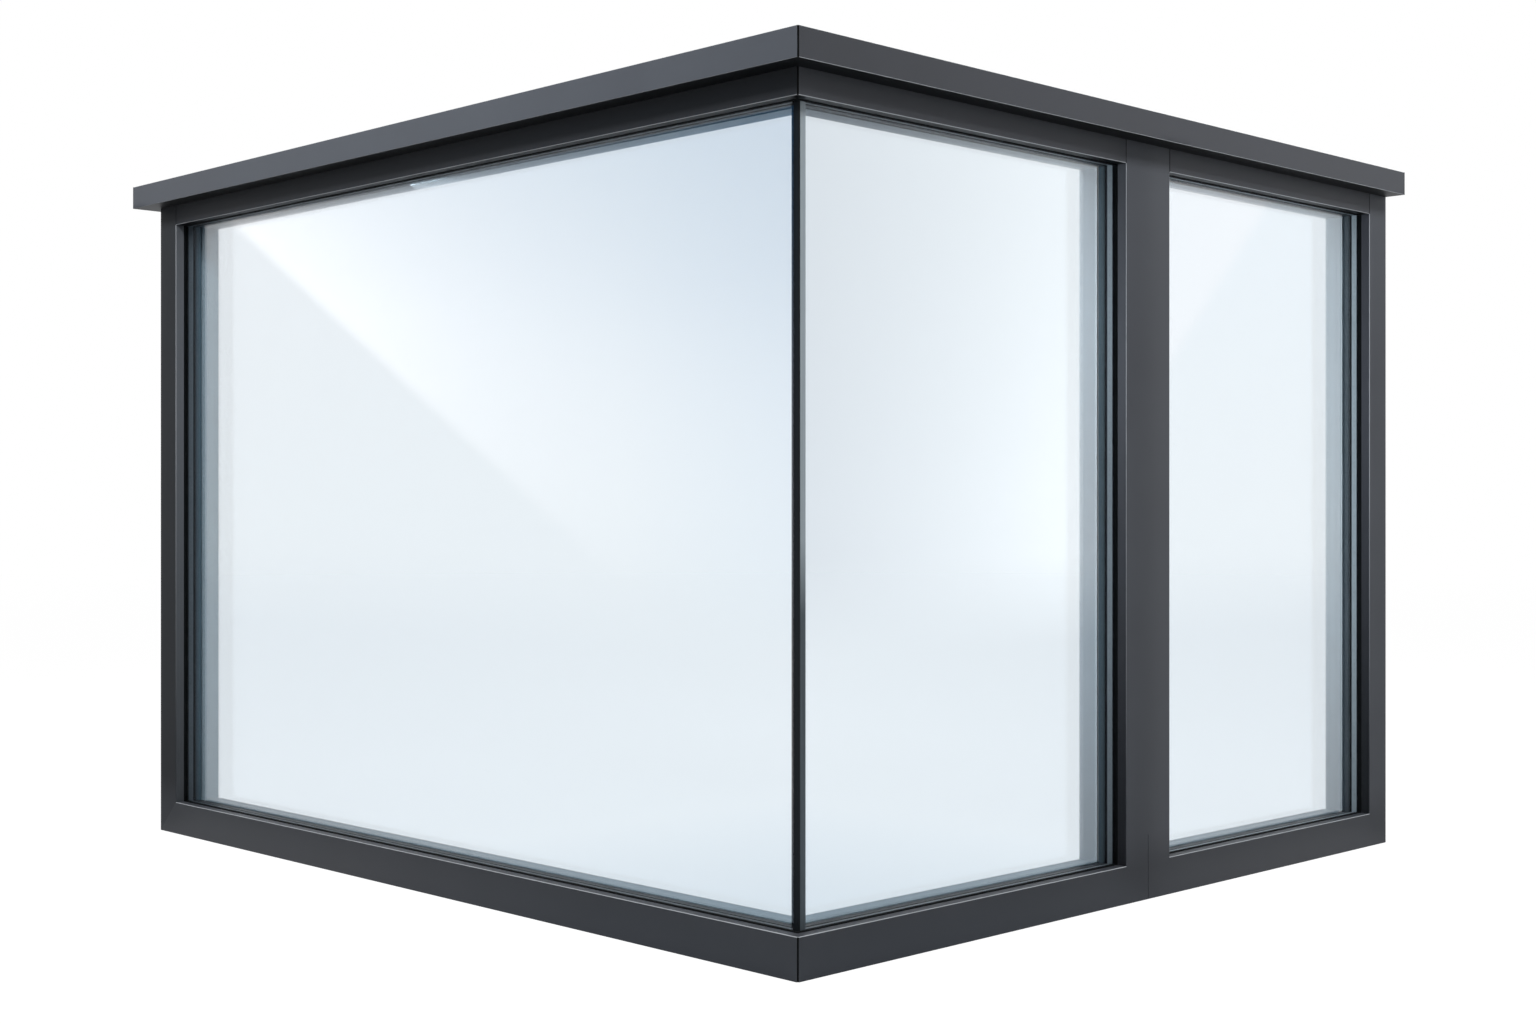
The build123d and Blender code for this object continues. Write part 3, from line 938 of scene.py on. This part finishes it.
hole_tree = bpy.data.node_groups.new("row_of_holes", "GeometryNodeTree")
new_socket = hole_tree.interface.new_socket
new_socket("Geometry", in_out="INPUT", socket_type="NodeSocketGeometry")
step_socket = new_socket("Step", in_out="INPUT", socket_type="NodeSocketFloat")
radius_socket = new_socket("Radius", in_out="INPUT", socket_type="NodeSocketFloat")
inward_socket = new_socket("Depth Axis", in_out="INPUT", socket_type="NodeSocketVector")
new_socket("Geometry", in_out="OUTPUT", socket_type="NodeSocketGeometry")
given = add_node(hole_tree, "NodeGroupInput").outputs
line = add_node(hole_tree, "GeometryNodeMeshToCurve", {"Mesh": given["Geometry"]})
steps = add_node(
    hole_tree, "GeometryNodeResampleCurve", {"Curve": line, "Length": given["Step"]}, mode="LENGTH"
)
run_of_line = add_node(hole_tree, "GeometryNodeInputTangent")
opening = add_node(
    hole_tree,
    "ShaderNodeVectorMath",
    {0: given["Depth Axis"], 1: run_of_line},
    operation="CROSS_PRODUCT",
)
turn = add_node(hole_tree, "FunctionNodeAlignRotationToVector", {"Vector": opening}, axis="Z")
disc = add_node(
    hole_tree,
    "GeometryNodeMeshCircle",
    {"Vertices": DISC_CORNERS, "Radius": given["Radius"]},
    fill_type="NGON",
)
rows = add_node(
    hole_tree,
    "GeometryNodeInstanceOnPoints",
    {"Points": steps, "Instance": disc, "Rotation": turn},
)
real = add_node(hole_tree, "GeometryNodeRealizeInstances", {0: rows})
painted = add_node(
    hole_tree, "GeometryNodeSetMaterial", {"Geometry": real, "Material": hole_finish}
)
add_node(hole_tree, "NodeGroupOutput", {0: painted})
print("tree:", hole_tree.name, len(hole_tree.nodes), "nodes")

# %% [markdown]
# The lines that the holes follow run along the middle of a spacer's inner side, a hair above the metal.
# At the glass corner a spacer is mitred and narrow, so the two lines that reach it stop short of it, and
# none runs up the corner.

# %% Lines for the holes
HOLE_LIFT = 0.0002
SPACER_WIDTH = 0.014
CORNER_CLEARANCE = 0.030


def hole_lines(node, run, at_corner):
    """The straight sides of a spacer's inner edge; run is the axis that its wing lies along."""
    low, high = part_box(node)
    depth = 1 - run
    middle = (low[depth] + high[depth]) / 2
    inset = SPACER_WIDTH + HOLE_LIFT
    bottom, top = low.z + inset, high.z - inset
    start = low[run] + (CORNER_CLEARANCE if at_corner else inset)
    end = high[run] - inset
    corners = []
    for distance, height in ((start, bottom), (end, bottom), (end, top), (start, top)):
        corner = Vector((0, 0, height))
        corner[run] = distance
        corner[depth] = middle
        corners.append(corner)
    sides = list(zip(corners, corners[1:] + corners[:1]))
    return sides[:-1] if at_corner else sides


print("sides of a corner spacer:", len(hole_lines("left_spacer", 1, True)))

# %% [markdown]
# The tree runs as a modifier on those lines. Its inputs are set by their identifiers before it is first
# evaluated, and the result is turned into a plain mesh that rides on the window's only body.

# %% Holes in the spacers
HOLE_STEP = 0.010
HOLE_RADIUS = 0.0005


def spacer_holes(node, run, at_corner):
    """The holes in one spacer frame."""
    sides = hole_lines(node, run, at_corner)
    mesh = bpy.data.meshes.new(node + "_path")
    mesh.from_pydata(
        [tuple(place) for side in sides for place in side],
        [(2 * i, 2 * i + 1) for i in range(len(sides))],
        [],
    )
    path = bpy.data.objects.new(node + "_path", mesh)
    scene.collection.objects.link(path)
    modifier = path.modifiers.new("row_of_holes", "NODES")
    modifier.node_group = hole_tree
    modifier[step_socket.identifier] = HOLE_STEP
    modifier[radius_socket.identifier] = HOLE_RADIUS
    modifier[inward_socket.identifier] = Vector((0, -1, 0)) if run == 0 else Vector((1, 0, 0))
    bpy.context.view_layer.update()
    evaluated = path.evaluated_get(bpy.context.evaluated_depsgraph_get())
    plain = bpy.data.meshes.new_from_object(evaluated)
    bpy.data.objects.remove(path)
    piece = bpy.data.objects.new(node + "_holes", plain)
    scene.collection.objects.link(piece)
    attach(piece, "root")
    print(piece.name, len(plain.polygons), "holes")


for wing, run in (("left", 1), ("right", 0), ("side", 0)):
    for spacer in ("spacer", "inner_spacer"):
        spacer_holes(f"{wing}_{spacer}", run, wing != "side")

# %% [markdown]
# The corner angles are anodised aluminium, and very fine lines run up them from the die they were drawn
# through. Their legs carry a painted reflection: the short leg on the left wing is black, and the long leg
# on the right wing has a painted shade next to the arris, then is pale grey in its upper half and dark grey
# below. The legs are told apart by their normals.

# %% Corner angles
SHADE_BESIDE_ARRIS = 0.0056
PALE_ABOVE = {"From Min": 0.58, "From Max": 0.70}
DIE_LINE_MM = 1.6
DIE_LINE_STRETCH = 0.01
LOOKS_RIGHT = -0.5
LEG_TONES = (("05080B", "0E1418"), ("3A4146", "50585E"), ("7C868C", "949DA3"))

trim_finish, tree = new_finish("anodised_aluminium_angle")
place = add_node(tree, "ShaderNodeTexCoord").outputs["Object"]
stretch = add_node(tree, "ShaderNodeMapping", {"Vector": place, "Scale": (1, 1, DIE_LINE_STRETCH)})
lines = add_node(
    tree, "ShaderNodeTexNoise", {"Vector": stretch, "Scale": per_metre(DIE_LINE_MM), "Detail": 2.0}
)
black, grey, pale = [
    add_node(
        tree, "ShaderNodeMix", {"Factor": lines, "A": linear(low), "B": linear(high)}, data_type="RGBA"
    )
    for low, high in LEG_TONES
]
facing = add_node(tree, "ShaderNodeNewGeometry").outputs["True Normal"]
normal = add_node(tree, "ShaderNodeSeparateXYZ", {0: facing}).outputs
xyz = add_node(tree, "ShaderNodeSeparateXYZ", {0: place}).outputs
arris_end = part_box("corner_trim_outer")[0].x + SHADE_BESIDE_ARRIS
on_right = add_node(tree, "ShaderNodeMath", {0: normal["Y"], 1: LOOKS_RIGHT}, operation="LESS_THAN")
past_arris = add_node(tree, "ShaderNodeMath", {0: xyz["X"], 1: arris_end}, operation="GREATER_THAN")
on_long_leg = add_node(tree, "ShaderNodeMath", {0: on_right, 1: past_arris}, operation="MULTIPLY")
rise = add_node(tree, "ShaderNodeMapRange", {"Value": xyz["Z"], **PALE_ABOVE})
long_leg = add_node(tree, "ShaderNodeMix", {"Factor": rise, "A": grey, "B": pale}, data_type="RGBA")
leg_colour = add_node(
    tree, "ShaderNodeMix", {"Factor": on_long_leg, "A": black, "B": long_leg}, data_type="RGBA"
)
skin = add_node(
    tree,
    "ShaderNodeBsdfPrincipled",
    {"Base Color": leg_colour, "Roughness": 0.4, "Specular IOR Level": 0.12},
)
add_node(tree, "ShaderNodeOutputMaterial", {"Surface": skin})
dress(trim_finish, ["corner_trim_outer", "corner_trim_inner"])
